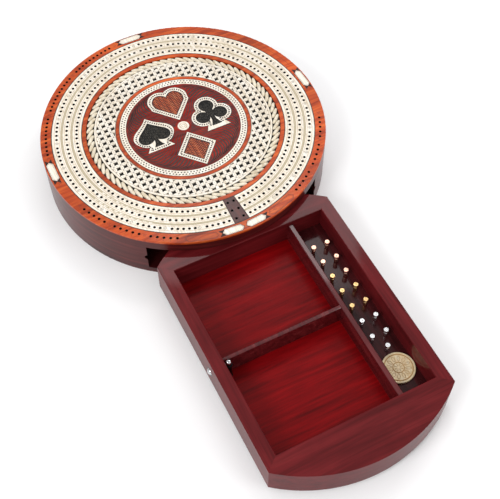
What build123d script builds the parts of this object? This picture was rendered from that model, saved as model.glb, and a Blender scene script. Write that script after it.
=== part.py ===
from build123d import *
import os
from math import cos, sin, radians, pi, sqrt

# Round cribbage box: a turned drum with the playing board inlaid in its lid,
# a channel right through it, and a drawer with the same curved ends.
# Millimetres, +Z up, origin at the centre of the underside of the drum.
# +Y is the top of the board (away from the start bar); the drawer is drawn out
# along -Y.

os.makedirs("parts", exist_ok=True)

# ---------------------------------------------------------------- dimensions
R = 152.4               # radius of the drum, 12 in across
Z_FLOOR = 8.0           # top of the base board, floor of the channel
Z_CEIL = 43.6           # ceiling of the channel
Z_DECK = 53.6           # top of the lid board, under the inlaid layer
Z_FACE = 56.0           # playing face
CH_HALF = 96.3          # half width of the channel

# radii of the inlaid rings, from the centre outwards
R_BUTTON = 6.2
R_DISC = 60.9
R_DOT_IN, R_DOT_OUT = 61.5, 68.2
R_BAND1_IN, R_BAND1_OUT = 68.9, 72.3
R_LAT_IN, R_LAT_OUT = 72.9, 95.2
R_ROPE_IN, R_ROPE_OUT = 95.9, 103.3
R_BAND2_IN, R_BAND2_OUT = 104.0, 108.2
R_TRACK_IN, R_TRACK_OUT = 109.1, 140.1
R_SCORE_IN = 141.1

# peg holes
HOLE_R = 1.5            # takes 1/8 in pegs
HOLE_Z = 47.0           # bottom of the holes in the lid board
TRACK_R = (113.9, 124.5, 135.1)
TRACK_STEP = (2.77, 2.79, 2.45)      # degrees between holes in a group of five
TRACK_FIRST = 5.0                    # first hole, degrees clockwise from the bar
BAR_HOLE = 1.68                      # holes in the start bar, either side
BAR_HALF_DEG = 3.45
SCORE_R = 146.3

# drawer, drawn at its rest place: pulled out until its tail still rides in the channel
PULL = 262.0            # how far the drawer's middle is from the drum's middle
D_HALF = 95.8           # half width
D_R = 152.1             # radius of the curved ends
D_Z0, D_Z1 = 8.25, 43.0
CAV_X, CAV_Y = 82.7, 106.7           # half sizes of the hollow
REB = 4.0                            # rebate that holds the floor
FLOOR_Z1 = 13.75
LONG_X, LONG_T = 46.5, 5.0           # divider along the drawer
DIV_Z = 39.0
CROSS_T = 4.0
RACK_Z = 18.15
PEG_X = (58.1, 73.6)
PEG_Y0, PEG_STEP = 76.7, 19.1
PEG_DEPTH = 6.9
BALL_R, BALL_IN = 4.0, 1.6           # catch ball, and how far its middle is inside the wall
CATCH_Z = (D_Z0 + D_Z1) / 2
BARREL_R, BARREL_L = 5.2, 11.8


def polar(r, a):
    """A point at radius r, a degrees clockwise from the start bar, seen from above."""
    t = radians(-90.0 - a)
    return (r * cos(t), r * sin(t))


track_holes = []
for r, step in zip(TRACK_R, TRACK_STEP):
    group = (350.0 - 4 * step) / 23
    for g in range(24):
        for k in range(5):
            track_holes.append(polar(r, TRACK_FIRST + g * group + k * step))
bar_holes = [polar(r, s * BAR_HOLE) for r in TRACK_R for s in (-1, 1)]
score_angles = []
for start in (27.1, 42.2, 57.3):
    for k in range(5):
        score_angles += [start + 2.6 * k, 360 - start - 2.6 * k]
for start in (101.0, 125.5, 150.0):
    score_angles += [start + 2.17 * k for k in range(10)]
score_holes = [polar(SCORE_R, a) for a in score_angles]


def save(builder, name):
    builder.part.label = name
    export_step(builder.part, f"parts/{name}.step")


# ---------------------------------------------------------------- drum
with BuildPart() as base_board:
    with BuildSketch(Plane.XY):
        Circle(R)
    extrude(amount=Z_FLOOR)
    fillet(base_board.edges().sort_by(Axis.Z)[0], radius=1.2)
save(base_board, "base_board")

# the two sides of the channel, each a slice of the round with a groove for the catch ball
for side, name in ((-1, "left_cheek"), (1, "right_cheek")):
    with BuildPart() as cheek:
        with BuildSketch(Plane.XY.offset(Z_FLOOR)):
            Circle(R)
            with Locations((side * (CH_HALF - 200), 0)):
                Rectangle(400, 400, mode=Mode.SUBTRACT)
        extrude(amount=Z_CEIL - Z_FLOOR)
        # groove that lets the ball pass along the channel
        with BuildSketch(Plane.XZ.offset(-R)):
            with Locations((side * (D_HALF - BALL_IN), CATCH_Z)):
                Circle(BALL_R + 0.4)
        extrude(amount=2 * R, mode=Mode.SUBTRACT)
        # seat for the strike disc
        with BuildSketch(Plane.YZ.offset(side * CH_HALF)):
            with Locations((0, CATCH_Z)):
                Circle(7.0)
        extrude(amount=side * 4.0, mode=Mode.SUBTRACT)
    save(cheek, name)

# steel strike discs in the channel walls: grooved like the wall, with a deeper dimple in the middle
with BuildPart() as catch_strikes:
    for side in (-1, 1):
        with BuildSketch(Plane.YZ.offset(side * CH_HALF)):
            with Locations((0, CATCH_Z)):
                Circle(7.0)
        extrude(amount=side * 4.0)
    for side in (-1, 1):
        with BuildSketch(Plane.XZ.offset(-R)):
            with Locations((side * (D_HALF - BALL_IN), CATCH_Z)):
                Circle(BALL_R + 0.4)
        extrude(amount=2 * R, mode=Mode.SUBTRACT)
        with Locations((side * (D_HALF - BALL_IN + 0.8), 0, CATCH_Z)):
            Sphere(BALL_R + 0.3, mode=Mode.SUBTRACT)
save(catch_strikes, "catch_strikes")

# lid board, drilled for every peg
with BuildPart() as top_board:
    with BuildSketch(Plane.XY.offset(Z_CEIL)):
        Circle(R)
    extrude(amount=Z_DECK - Z_CEIL)
    with BuildSketch(Plane.XY.offset(HOLE_Z)):
        with Locations(*(track_holes + bar_holes + score_holes)):
            Circle(HOLE_R)
    extrude(amount=Z_DECK - HOLE_Z, mode=Mode.SUBTRACT)
save(top_board, "top_board")

# ---------------------------------------------------------------- outer score ring and its plaques
PLAQUE_R = 146.8
plaque_spots = [(91.5, 27.0), (180.0, 27.0), (268.5, 27.0), (4.95, 23.4), (-4.95, 23.4)]
score_plaque_spots = [(17.6, 35.0), (-17.6, 35.0)]
PLAQUE_H = 7.8


def hexagon(a, length, height, tip=3.4):
    """Outline of a plaque with pointed ends, its middle at clockwise angle a."""
    cx, cy = polar(PLAQUE_R, a)
    t = radians(-90.0 - a)
    ux, uy = -sin(t), cos(t)          # along the ring
    vx, vy = cos(t), sin(t)           # outwards
    h, l = height / 2, length / 2
    pts = [(-l, 0), (-l + tip, h), (l - tip, h), (l, 0), (l - tip, -h), (-l + tip, -h)]
    return [(cx + p * ux + q * vx, cy + p * uy + q * vy) for p, q in pts]


def tip_triangle(a, length, height, sign, reach=3.6):
    """Dark arrow that fills the corner beside a plaque's point."""
    cx, cy = polar(PLAQUE_R, a)
    t = radians(-90.0 - a)
    ux, uy = -sin(t), cos(t)
    vx, vy = cos(t), sin(t)
    h, l = height / 2, length / 2
    back = 3.4 * height / PLAQUE_H    # its inner edges lie along the plaque's own
    pts = [(l - back, h), (l + reach, h), (l + 0.4, 0), (l + reach, -h), (l - back, -h), (l, 0)]
    return [(cx + sign * p * ux + q * vx, cy + sign * p * uy + q * vy) for p, q in pts]


tip_spots = [(91.5, 27.0, 1), (91.5, 27.0, -1), (180.0, 27.0, 1), (180.0, 27.0, -1),
             (268.5, 27.0, 1), (268.5, 27.0, -1), (4.95, 23.4, -1), (-4.95, 23.4, 1)]

with BuildPart() as score_ring:
    with BuildSketch(Plane.XY.offset(Z_DECK)):
        Circle(R)
        Circle(R_SCORE_IN, mode=Mode.SUBTRACT)
    extrude(amount=Z_FACE - Z_DECK)
    rim = score_ring.edges().filter_by(GeomType.CIRCLE).filter_by(
        lambda e: abs(e.radius - R) < 0.01 and e.center().Z > Z_FACE - 0.1)
    fillet(rim, radius=0.8)
    with BuildSketch(Plane.XY.offset(Z_DECK)):
        with Locations(*score_holes):
            Circle(HOLE_R)
        for a, l in plaque_spots + score_plaque_spots:
            with BuildLine():
                Polyline(*hexagon(a, l, PLAQUE_H), close=True)
            make_face()
        for a, l, s in tip_spots:
            with BuildLine():
                Polyline(*tip_triangle(a, l, PLAQUE_H - 0.6, s), close=True)
            make_face()
    extrude(amount=Z_FACE - Z_DECK, mode=Mode.SUBTRACT)
save(score_ring, "score_ring")

with BuildPart() as label_plaques:
    with BuildSketch(Plane.XY.offset(Z_DECK)):
        for a, l in plaque_spots:
            with BuildLine():
                Polyline(*hexagon(a, l, PLAQUE_H), close=True)
            make_face()
    extrude(amount=Z_FACE - Z_DECK + 0.15)
save(label_plaques, "label_plaques")

with BuildPart() as score_plaques:
    with BuildSketch(Plane.XY.offset(Z_DECK)):
        for a, l in score_plaque_spots:
            with BuildLine():
                Polyline(*hexagon(a, l, PLAQUE_H), close=True)
            make_face()
    extrude(amount=Z_FACE - Z_DECK)
save(score_plaques, "score_plaques")

with BuildPart() as plaque_tips:
    with BuildSketch(Plane.XY.offset(Z_DECK)):
        for a, l, s in tip_spots:
            with BuildLine():
                Polyline(*tip_triangle(a, l, PLAQUE_H - 0.6, s), close=True)
            make_face()
    extrude(amount=Z_FACE - Z_DECK)
save(plaque_tips, "plaque_tips")

# ---------------------------------------------------------------- track ring and start bar
bar_in = [polar(R_TRACK_IN - 4, -BAR_HALF_DEG), polar(R_TRACK_OUT + 4, -BAR_HALF_DEG),
          polar(R_TRACK_OUT + 4, BAR_HALF_DEG), polar(R_TRACK_IN - 4, BAR_HALF_DEG)]

with BuildPart() as track_ring:
    with BuildSketch(Plane.XY.offset(Z_DECK)):
        Circle(R_TRACK_OUT)
        Circle(R_TRACK_IN, mode=Mode.SUBTRACT)
        with BuildLine():
            Polyline(*bar_in, close=True)
        make_face(mode=Mode.SUBTRACT)
        with Locations(*track_holes):
            Circle(HOLE_R, mode=Mode.SUBTRACT)
    extrude(amount=Z_FACE - Z_DECK)
    # shallow coves between the three tracks
    with BuildSketch(Plane.XZ):
        for rc in (119.3, 129.8):
            with BuildLine():
                a1 = ThreePointArc((rc - 1.35, Z_FACE), (rc, Z_FACE - 0.5), (rc + 1.35, Z_FACE))
                Polyline((rc + 1.35, Z_FACE), (rc + 1.35, Z_FACE + 0.5), (rc - 1.35, Z_FACE + 0.5), (rc - 1.35, Z_FACE))
            make_face()
    revolve(axis=Axis.Z, mode=Mode.SUBTRACT)
save(track_ring, "track_ring")

with BuildPart() as start_bar:
    with BuildSketch(Plane.XY.offset(Z_DECK)):
        Circle(R_TRACK_OUT)
        Circle(R_TRACK_IN, mode=Mode.SUBTRACT)
        with BuildLine():
            Polyline(*bar_in, close=True)
        make_face(mode=Mode.INTERSECT)
        with Locations(*bar_holes):
            Circle(HOLE_R, mode=Mode.SUBTRACT)
    extrude(amount=Z_FACE - Z_DECK)
save(start_bar, "start_bar")


# ---------------------------------------------------------------- plain bands
def ring(name, r_in, r_out, z0, z1):
    with BuildPart() as b:
        with BuildSketch(Plane.XY.offset(z0)):
            Circle(r_out)
            Circle(r_in, mode=Mode.SUBTRACT)
        extrude(amount=z1 - z0)
    save(b, name)


ring("outer_band", R_BAND2_IN, R_BAND2_OUT, Z_DECK, Z_FACE)
ring("inner_band", R_BAND1_IN, R_BAND1_OUT, Z_DECK, Z_FACE)
ring("dot_ring", R_DOT_IN, R_DOT_OUT, Z_DECK, Z_FACE)
ring("rope_backing", R_LAT_OUT, R_BAND2_IN, Z_DECK, Z_DECK + 0.8)
ring("lattice_backing", R_LAT_IN, R_LAT_OUT, Z_DECK, Z_DECK + 1.0)

# black stringing lines between the rings
with BuildPart() as stringing:
    for r_in, r_out in ((R_DISC, R_DOT_IN), (R_DOT_OUT, R_BAND1_IN), (R_BAND1_OUT, R_LAT_IN),
                        (R_BAND2_OUT, R_TRACK_IN), (R_TRACK_OUT, R_SCORE_IN)):
        with BuildSketch(Plane.XY.offset(Z_DECK)):
            Circle(r_out)
            Circle(r_in, mode=Mode.SUBTRACT)
        extrude(amount=Z_FACE - Z_DECK - 0.1)
save(stringing, "stringing")

# rope moulding, half round, sitting on its backing
with BuildPart() as rope_ring:
    with BuildSketch(Plane.XZ):
        with BuildLine():
            ThreePointArc((R_ROPE_IN, Z_DECK + 0.8), ((R_ROPE_IN + R_ROPE_OUT) / 2, Z_FACE + 0.4),
                          (R_ROPE_OUT, Z_DECK + 0.8))
            Line((R_ROPE_OUT, Z_DECK + 0.8), (R_ROPE_IN, Z_DECK + 0.8))
        make_face()
    revolve(axis=Axis.Z)
save(rope_ring, "rope_ring")

# pierced lattice: four-pointed openings on a square grid, over the black backing
P = 7.67
T, W = 0.39 * P, 0.272 * P
stars = []
for i in range(-13, 14):
    for j in range(-13, 14):
        d = sqrt(i * i + j * j) * P
        if R_LAT_IN - 1.0 < d < 95.5:
            stars.append((i * P, j * P))
with BuildSketch(Plane.XY.offset(Z_DECK + 1.0)) as star_field:
    with BuildSketch(Plane.XY.offset(Z_DECK + 1.0), mode=Mode.PRIVATE) as one_star:
        with BuildLine():
            ThreePointArc((T, T), (W, 0), (T, -T))
            ThreePointArc((T, -T), (0, -W), (-T, -T))
            ThreePointArc((-T, -T), (-W, 0), (-T, T))
            ThreePointArc((-T, T), (0, W), (T, T))
        make_face()
    with Locations(*stars):
        add(one_star.sketch)
    with BuildSketch(Plane.XY.offset(Z_DECK + 1.0), mode=Mode.INTERSECT):
        Circle(93.0)
        Circle(R_LAT_IN + 0.6, mode=Mode.SUBTRACT)
with BuildPart() as lattice_ring:
    with BuildSketch(Plane.XY.offset(Z_DECK + 1.0)):
        Circle(R_LAT_OUT)
        Circle(R_LAT_IN, mode=Mode.SUBTRACT)
    extrude(amount=Z_FACE - Z_DECK - 1.0)
    # the openings that the two edges cut through stay, down to half a square millimetre
    add(star_field.sketch.faces().filter_by(lambda f: f.area > 0.5))
    extrude(amount=Z_FACE - Z_DECK - 1.0, mode=Mode.SUBTRACT)
save(lattice_ring, "lattice_ring")


# ---------------------------------------------------------------- centre disc with the four suits
def half_mirror(points):
    """Right-hand points from top to bottom, and their mirror back up."""
    return points, [(-x, y) for x, y in reversed(points)]


def heart(k_out):
    """Heart outline about x=0; True for the outer edge of its border."""
    with BuildSketch(mode=Mode.PRIVATE) as s:
        with BuildLine():
            if k_out:
                right = [(0, 53.6), (4.6, 56.0), (8.6, 56.7), (12.8, 56.0), (17.8, 53.0), (21.3, 48.2),
                         (22.6, 42.3), (21.9, 36.4), (19.5, 31.2)]
                tip = (0, 9.2)
                t0 = (0.55, 0.84)
            else:
                right = [(0, 45.6), (3.2, 49.6), (6.4, 51.3), (9.8, 51.5), (13.8, 49.4), (16.6, 45.8),
                         (17.6, 41.4), (16.9, 37.0), (14.6, 33.2)]
                tip = (0, 17.2)
                t0 = (0.30, 0.95)
            end = (tip[0] - right[-1][0], tip[1] - right[-1][1])
            n = sqrt(end[0] ** 2 + end[1] ** 2)
            Spline(*right, tangents=(t0, (end[0] / n, end[1] / n)))
            Line(right[-1], tip)
            left = [(-x, y) for x, y in right]
            Spline(*left, tangents=((-t0[0], t0[1]), (-end[0] / n, end[1] / n)))
            Line(left[-1], tip)
        make_face()
    return s.sketch


def spade(k_out):
    cx = -33.5
    with BuildSketch(mode=Mode.PRIVATE) as s:
        for sg in (1, -1):
            with BuildLine():
                if k_out:
                    pts = [(0, 28.0), (7.2, 20.2), (14.6, 14.6), (20.3, 9.2), (22.6, 2.4),
                           (19.6, -5.4), (10.6, -11.9)]
                    Spline(*[(cx + sg * x, y) for x, y in pts],
                           tangents=((sg * 0.62, -0.78), (-sg * 0.97, -0.22)))
                    Polyline((cx + sg * 10.6, -11.9), (cx + sg * 15.6, -19.0), (cx, -19.0), (cx, 28.0))
                else:
                    pts = [(0, 20.6), (5.6, 14.8), (12.2, 9.0), (16.6, 4.0), (17.4, -1.2),
                           (13.6, -6.4), (7.6, -7.2), (1.9, -4.2)]
                    Spline(*[(cx + sg * x, y) for x, y in pts],
                           tangents=((sg * 0.62, -0.78), (-sg * 0.80, 0.60)))
                    ThreePointArc((cx + sg * 1.9, -4.2), (cx + sg * 2.9, -9.6), (cx + sg * 5.6, -13.9))
                    Polyline((cx + sg * 5.6, -13.9), (cx, -13.9), (cx, 20.6))
            make_face()
    return s.sketch


def club(k_out):
    cx = 33.7
    with BuildSketch(mode=Mode.PRIVATE) as s:
        if k_out:
            lobes, rad = ((0, 15.2), (-10.2, 0.8), (10.2, 0.8)), (13.1, 12.4, 12.4)
            foot = [(-5.0, -4.0), (-9.6, -11.3), (-13.9, -19.0), (13.9, -19.0), (9.6, -11.3), (5.0, -4.0)]
        else:
            lobes, rad = ((0, 15.2), (-10.0, 0.8), (10.0, 0.8)), (8.1, 7.7, 7.7)
            foot = [(-2.0, 2.0), (-2.4, -6.5), (-5.3, -13.8), (5.3, -13.8), (2.4, -6.5), (2.0, 2.0)]
            with BuildLine():
                Polyline((cx - 4.2, 10.0), (cx + 4.2, 10.0), (cx + 4.2, 1.0), (cx - 4.2, 1.0), close=True)
            make_face()
        for (x, y), r in zip(lobes, rad):
            with Locations((cx + x, y)):
                Circle(r)
        with BuildLine():
            Polyline(*[(cx + x, y) for x, y in foot], close=True)
        make_face()
        if k_out:
            with Locations((cx, 5.0)):
                Circle(9.0)
    return s.sketch


def diamond(k_out):
    cy, hx, hy = -34.2, (22.4 if k_out else 15.3), (24.8 if k_out else 17.3)
    with BuildSketch(mode=Mode.PRIVATE) as s:
        with BuildLine():
            Polyline((0, cy + hy), (hx, cy), (0, cy - hy), (-hx, cy), close=True)
        make_face()
    return s.sketch


suits = {"heart": heart, "spade": spade, "club": club, "diamond": diamond}
outer_sk = {n: f(True) for n, f in suits.items()}
inner_sk = {n: f(False) for n, f in suits.items()}

with BuildPart() as centre_disc:
    with BuildSketch(Plane.XY.offset(Z_DECK)):
        Circle(R_DISC)
        Circle(R_BUTTON, mode=Mode.SUBTRACT)
        for n in suits:
            add(outer_sk[n], mode=Mode.SUBTRACT)
    extrude(amount=Z_FACE - Z_DECK)
save(centre_disc, "centre_disc")

for n in suits:
    with BuildPart() as border:
        with BuildSketch(Plane.XY.offset(Z_DECK)):
            add(outer_sk[n])
            add(inner_sk[n], mode=Mode.SUBTRACT)
        extrude(amount=Z_FACE - Z_DECK + 0.1)
    save(border, f"{n}_border")
    with BuildPart() as inlay:
        with BuildSketch(Plane.XY.offset(Z_DECK)):
            add(inner_sk[n])
        extrude(amount=Z_FACE - Z_DECK - 0.2)
    save(inlay, f"{n}_inlay")

# turned button in the middle, a little proud
with BuildPart() as centre_button:
    with BuildSketch(Plane.XZ):
        with BuildLine():
            Polyline((0, Z_DECK), (R_BUTTON, Z_DECK), (R_BUTTON, Z_FACE + 0.3), (5.7, Z_FACE + 0.7),
                     (4.4, Z_FACE + 0.7), (4.1, Z_FACE + 0.4), (3.6, Z_FACE + 0.4), (3.3, Z_FACE + 0.75),
                     (2.3, Z_FACE + 0.75), (2.0, Z_FACE + 0.45), (1.6, Z_FACE + 0.45), (1.2, Z_FACE + 0.8),
                     (0, Z_FACE + 0.8), close=True)
        make_face()
    revolve(axis=Axis.Z)
save(centre_button, "centre_button")

# ---------------------------------------------------------------- drawer
YD = -PULL
CORNER_Y = sqrt(D_R ** 2 - D_HALF ** 2)

for side, name in ((-1, "drawer_left_side"), (1, "drawer_right_side")):
    with BuildPart() as wall:
        with BuildSketch(Plane.XY.offset(D_Z0)):
            with BuildLine():
                Polyline((side * D_HALF, YD - CORNER_Y), (side * D_HALF, YD + CORNER_Y),
                         (side * CAV_X, YD + CAV_Y), (side * CAV_X, YD - CAV_Y), close=True)
            make_face()
        extrude(amount=D_Z1 - D_Z0)
        # rebate for the floor
        with BuildSketch(Plane.XY.offset(D_Z0)):
            with Locations((0, YD)):
                Rectangle(2 * (CAV_X + REB), 2 * (CAV_Y + REB))
        extrude(amount=FLOOR_Z1 - D_Z0, mode=Mode.SUBTRACT)
        # blind bore for the ball catch, from outside
        with BuildSketch(Plane.YZ.offset(side * D_HALF)):
            with Locations((YD, CATCH_Z)):
                Circle(BARREL_R)
        extrude(amount=-side * BARREL_L, mode=Mode.SUBTRACT)
        long_edges = wall.edges().filter_by(Axis.Y).filter_by(
            lambda e: e.center().Z > D_Z1 - 0.1)
        chamfer(long_edges, length=0.5)
    save(wall, name)

for end, name in ((-1, "drawer_front"), (1, "drawer_back")):
    with BuildPart() as block:
        with BuildSketch(Plane.XY.offset(D_Z0)):
            with BuildLine():
                ThreePointArc((-D_HALF, YD + end * CORNER_Y), (0, YD + end * D_R), (D_HALF, YD + end * CORNER_Y))
                Polyline((D_HALF, YD + end * CORNER_Y), (CAV_X, YD + end * CAV_Y),
                         (-CAV_X, YD + end * CAV_Y), (-D_HALF, YD + end * CORNER_Y))
            make_face()
        extrude(amount=D_Z1 - D_Z0)
        with BuildSketch(Plane.XY.offset(D_Z0)):
            with Locations((0, YD)):
                Rectangle(2 * (CAV_X + REB), 2 * (CAV_Y + REB))
        extrude(amount=FLOOR_Z1 - D_Z0, mode=Mode.SUBTRACT)
        top_arc = block.edges().filter_by(GeomType.CIRCLE).sort_by(Axis.Z)[-1]
        inner_top = block.edges().filter_by(Axis.X).sort_by(Axis.Z)[-1]
        chamfer([top_arc, inner_top], length=0.5)
    save(block, name)

peg_spots = [(PEG_X[1], PEG_Y0 - PEG_STEP * k) for k in range(7)]
peg_spots += [(PEG_X[0], PEG_Y0 - PEG_STEP * k) for k in range(7)]
peg_spots += [(66.2, PEG_Y0 - PEG_STEP * 6 - 15.0)]
peg_world = [(x, YD + y) for x, y in peg_spots]
PEG_Z0 = RACK_Z - PEG_DEPTH          # bottom of the peg holes

with BuildPart() as drawer_floor:
    with BuildSketch(Plane.XY.offset(D_Z0)):
        with Locations((0, YD)):
            Rectangle(2 * (CAV_X + REB), 2 * (CAV_Y + REB))
    extrude(amount=FLOOR_Z1 - D_Z0)
    with BuildSketch(Plane.XY.offset(PEG_Z0)):
        with Locations(*peg_world):
            Circle(HOLE_R)
    extrude(amount=FLOOR_Z1 - PEG_Z0, mode=Mode.SUBTRACT)
save(drawer_floor, "drawer_floor")

LX0, LX1 = LONG_X - LONG_T / 2, LONG_X + LONG_T / 2
with BuildPart() as long_divider:
    with BuildSketch(Plane.XY.offset(FLOOR_Z1)):
        with Locations((LONG_X, YD)):
            Rectangle(LONG_T, 2 * CAV_Y)
    extrude(amount=DIV_Z - FLOOR_Z1)
    chamfer(long_divider.edges().filter_by(Axis.Y).group_by(Axis.Z)[-1], length=0.6)
save(long_divider, "long_divider")

with BuildPart() as cross_divider:
    with BuildSketch(Plane.XY.offset(FLOOR_Z1)):
        with Locations(((-CAV_X + LX0) / 2, YD)):
            Rectangle(LX0 + CAV_X, CROSS_T)
    extrude(amount=DIV_Z - 0.4 - FLOOR_Z1)
    chamfer(cross_divider.edges().filter_by(Axis.X).group_by(Axis.Z)[-1], length=0.9)
save(cross_divider, "cross_divider")

with BuildPart() as peg_rack:
    with BuildSketch(Plane.XY.offset(FLOOR_Z1)):
        with Locations(((LX1 + CAV_X) / 2, YD)):
            Rectangle(CAV_X - LX1, 2 * CAV_Y)
        with Locations(*peg_world):
            Circle(HOLE_R, mode=Mode.SUBTRACT)
    extrude(amount=RACK_Z - FLOOR_Z1)
save(peg_rack, "peg_rack")

# round post in the corner where the cross divider meets the left side
POST_R = 3.7
POST_X, POST_Y = -CAV_X + POST_R + 0.15, YD - CROSS_T / 2 - POST_R - 0.1
with BuildPart() as corner_post:
    with BuildSketch(Plane.XZ.offset(-POST_Y)):
        with BuildLine():
            Polyline((POST_X, FLOOR_Z1), (POST_X + POST_R, FLOOR_Z1), (POST_X + POST_R, FLOOR_Z1 + 1.6),
                     (POST_X + POST_R - 0.5, FLOOR_Z1 + 2.1), (POST_X + POST_R - 0.5, 33.8),
                     (POST_X + POST_R, 34.3), (POST_X + POST_R, 35.6), (POST_X + 2.4, 36.4),
                     (POST_X, 36.4), close=True)
        make_face()
    revolve(axis=Axis((POST_X, POST_Y, 0), (0, 0, 1)))
save(corner_post, "corner_post")

with BuildPart() as corner_post_cap:
    with BuildSketch(Plane.XY.offset(36.4)):
        with Locations((POST_X, POST_Y)):
            Circle(1.7)
    extrude(amount=1.6)
    with Locations((POST_X, POST_Y, 39.3)):
        Sphere(2.8)
save(corner_post_cap, "corner_post_cap")

# ---------------------------------------------------------------- ball catches in the drawer's sides
BALL_X = D_HALF - BALL_IN
with BuildPart() as catch_barrels:
    for side in (-1, 1):
        with BuildSketch(Plane.XZ.offset(-YD)):
            with BuildLine():
                Polyline((side * D_HALF, CATCH_Z + 3.79), (side * D_HALF, CATCH_Z + BARREL_R),
                         (side * (D_HALF - BARREL_L), CATCH_Z + BARREL_R),
                         (side * (D_HALF - BARREL_L), CATCH_Z), (side * (D_HALF - BARREL_L + 1.0), CATCH_Z),
                         (side * (D_HALF - BARREL_L + 1.0), CATCH_Z + 4.09),
                         (side * (D_HALF - BALL_IN), CATCH_Z + 4.09), close=True)
            make_face()
        revolve(axis=Axis((0, YD, CATCH_Z), (1, 0, 0)))
save(catch_barrels, "catch_barrels")

# coil springs behind the balls
SPR_X0 = D_HALF - BARREL_L + 1.0 + 0.35      # first coil's middle
SPR_X1 = BALL_X - BALL_R - 0.45 + 0.9        # last coil's middle, round the back of the ball
with BuildPart() as catch_springs:
    for side in (-1, 1):
        with BuildLine() as coil:
            Helix(pitch=(SPR_X1 - SPR_X0) / 4.0, height=SPR_X1 - SPR_X0, radius=3.3,
                  center=(side * SPR_X0, YD, CATCH_Z), direction=(side, 0, 0))
        with BuildSketch(Plane(origin=coil.line @ 0, z_dir=coil.line % 0)):
            Circle(0.3)
        sweep(path=coil.line)
save(catch_springs, "catch_springs")

for side, name in ((-1, "left_catch_ball"), (1, "right_catch_ball")):
    with BuildPart() as ball:
        with Locations((side * BALL_X, YD, CATCH_Z)):
            Sphere(BALL_R)
    save(ball, name)

# ---------------------------------------------------------------- token lying in the peg bay
TOKEN_R, TOKEN_T = 16.3, 2.6
TOKEN_X, TOKEN_Y = (LX1 + CAV_X) / 2, YD - 74.6
with BuildPart() as token:
    with BuildSketch(Plane.XZ.offset(-TOKEN_Y)):
        z = RACK_Z + 0.05
        with BuildLine():
            Polyline((TOKEN_X, z), (TOKEN_X + TOKEN_R - 0.3, z), (TOKEN_X + TOKEN_R, z + 0.3),
                     (TOKEN_X + TOKEN_R, z + TOKEN_T - 0.4), (TOKEN_X + TOKEN_R - 0.4, z + TOKEN_T),
                     (TOKEN_X + TOKEN_R - 1.6, z + TOKEN_T), (TOKEN_X + TOKEN_R - 1.9, z + TOKEN_T - 0.4),
                     (TOKEN_X, z + TOKEN_T - 0.4), close=True)
        make_face()
    revolve(axis=Axis((TOKEN_X, TOKEN_Y, 0), (0, 0, 1)))
save(token, "token")

# ---------------------------------------------------------------- pegs
peg_names = (["peg_copper_%d" % i for i in (1, 2, 3)] + ["peg_brass_%d" % i for i in (1, 2)]
             + ["peg_steel_%d" % i for i in (1, 2)]
             + ["peg_copper_%d" % i for i in (4, 5)] + ["peg_brass_%d" % i for i in (3, 4, 5)]
             + ["peg_steel_%d" % i for i in (3, 4)] + ["peg_steel_5"])
for name, (px, py) in zip(peg_names, peg_world):
    with BuildPart() as peg:
        z = PEG_Z0 + 0.05
        profile = [(0, 0), (1.0, 0), (1.25, 0.5), (1.45, PEG_DEPTH - 0.6), (1.45, PEG_DEPTH + 0.3),
                   (1.9, PEG_DEPTH + 0.8), (2.1, PEG_DEPTH + 3.0), (2.35, PEG_DEPTH + 6.9),
                   (1.95, PEG_DEPTH + 7.4), (1.95, PEG_DEPTH + 8.1), (2.55, PEG_DEPTH + 8.5),
                   (2.55, PEG_DEPTH + 10.3), (2.3, PEG_DEPTH + 10.7), (0.5, PEG_DEPTH + 10.7),
                   (0, PEG_DEPTH + 10.35)]
        with BuildSketch(Plane.XZ.offset(-py)):
            with BuildLine():
                Polyline(*[(px + a, z + b) for a, b in profile], close=True)
            make_face()
        revolve(axis=Axis((px, py, 0), (0, 0, 1)))
    save(peg, name)
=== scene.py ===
import math

import bmesh
import bpy
import numpy as np
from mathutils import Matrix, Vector


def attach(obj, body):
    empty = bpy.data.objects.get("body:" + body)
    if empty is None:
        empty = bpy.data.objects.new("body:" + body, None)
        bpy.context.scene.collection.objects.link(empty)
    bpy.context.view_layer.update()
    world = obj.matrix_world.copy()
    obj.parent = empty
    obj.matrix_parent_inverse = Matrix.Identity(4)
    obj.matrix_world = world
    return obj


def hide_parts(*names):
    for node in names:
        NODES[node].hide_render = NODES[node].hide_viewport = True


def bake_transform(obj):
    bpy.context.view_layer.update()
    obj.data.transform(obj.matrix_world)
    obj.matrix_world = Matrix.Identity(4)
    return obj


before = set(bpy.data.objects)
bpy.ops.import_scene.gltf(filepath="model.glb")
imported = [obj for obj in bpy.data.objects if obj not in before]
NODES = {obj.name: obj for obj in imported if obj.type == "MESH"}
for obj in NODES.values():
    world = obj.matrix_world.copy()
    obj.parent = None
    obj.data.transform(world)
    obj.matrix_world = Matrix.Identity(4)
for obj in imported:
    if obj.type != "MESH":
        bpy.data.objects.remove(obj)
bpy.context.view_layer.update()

MM = 0.001


# ------------------------------------------------------------------ dimensions (mm)
Z_DECK, Z_FACE = 53.6, 56.0
HOLE_R, HOLE_Z = 1.5, 47.0
R_DISC = 60.9
TRACK_R = (113.9, 124.5, 135.1)
TRACK_STEP = (2.77, 2.79, 2.45)
TRACK_FIRST = 5.0
BAR_HOLE = 1.68
SCORE_R = 146.3
PLAQUE_R = 146.8
YD = -262.0
P = 7.67


def polar(r, a):
    t = math.radians(-90.0 - a)
    return (r * math.cos(t), r * math.sin(t))


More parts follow.
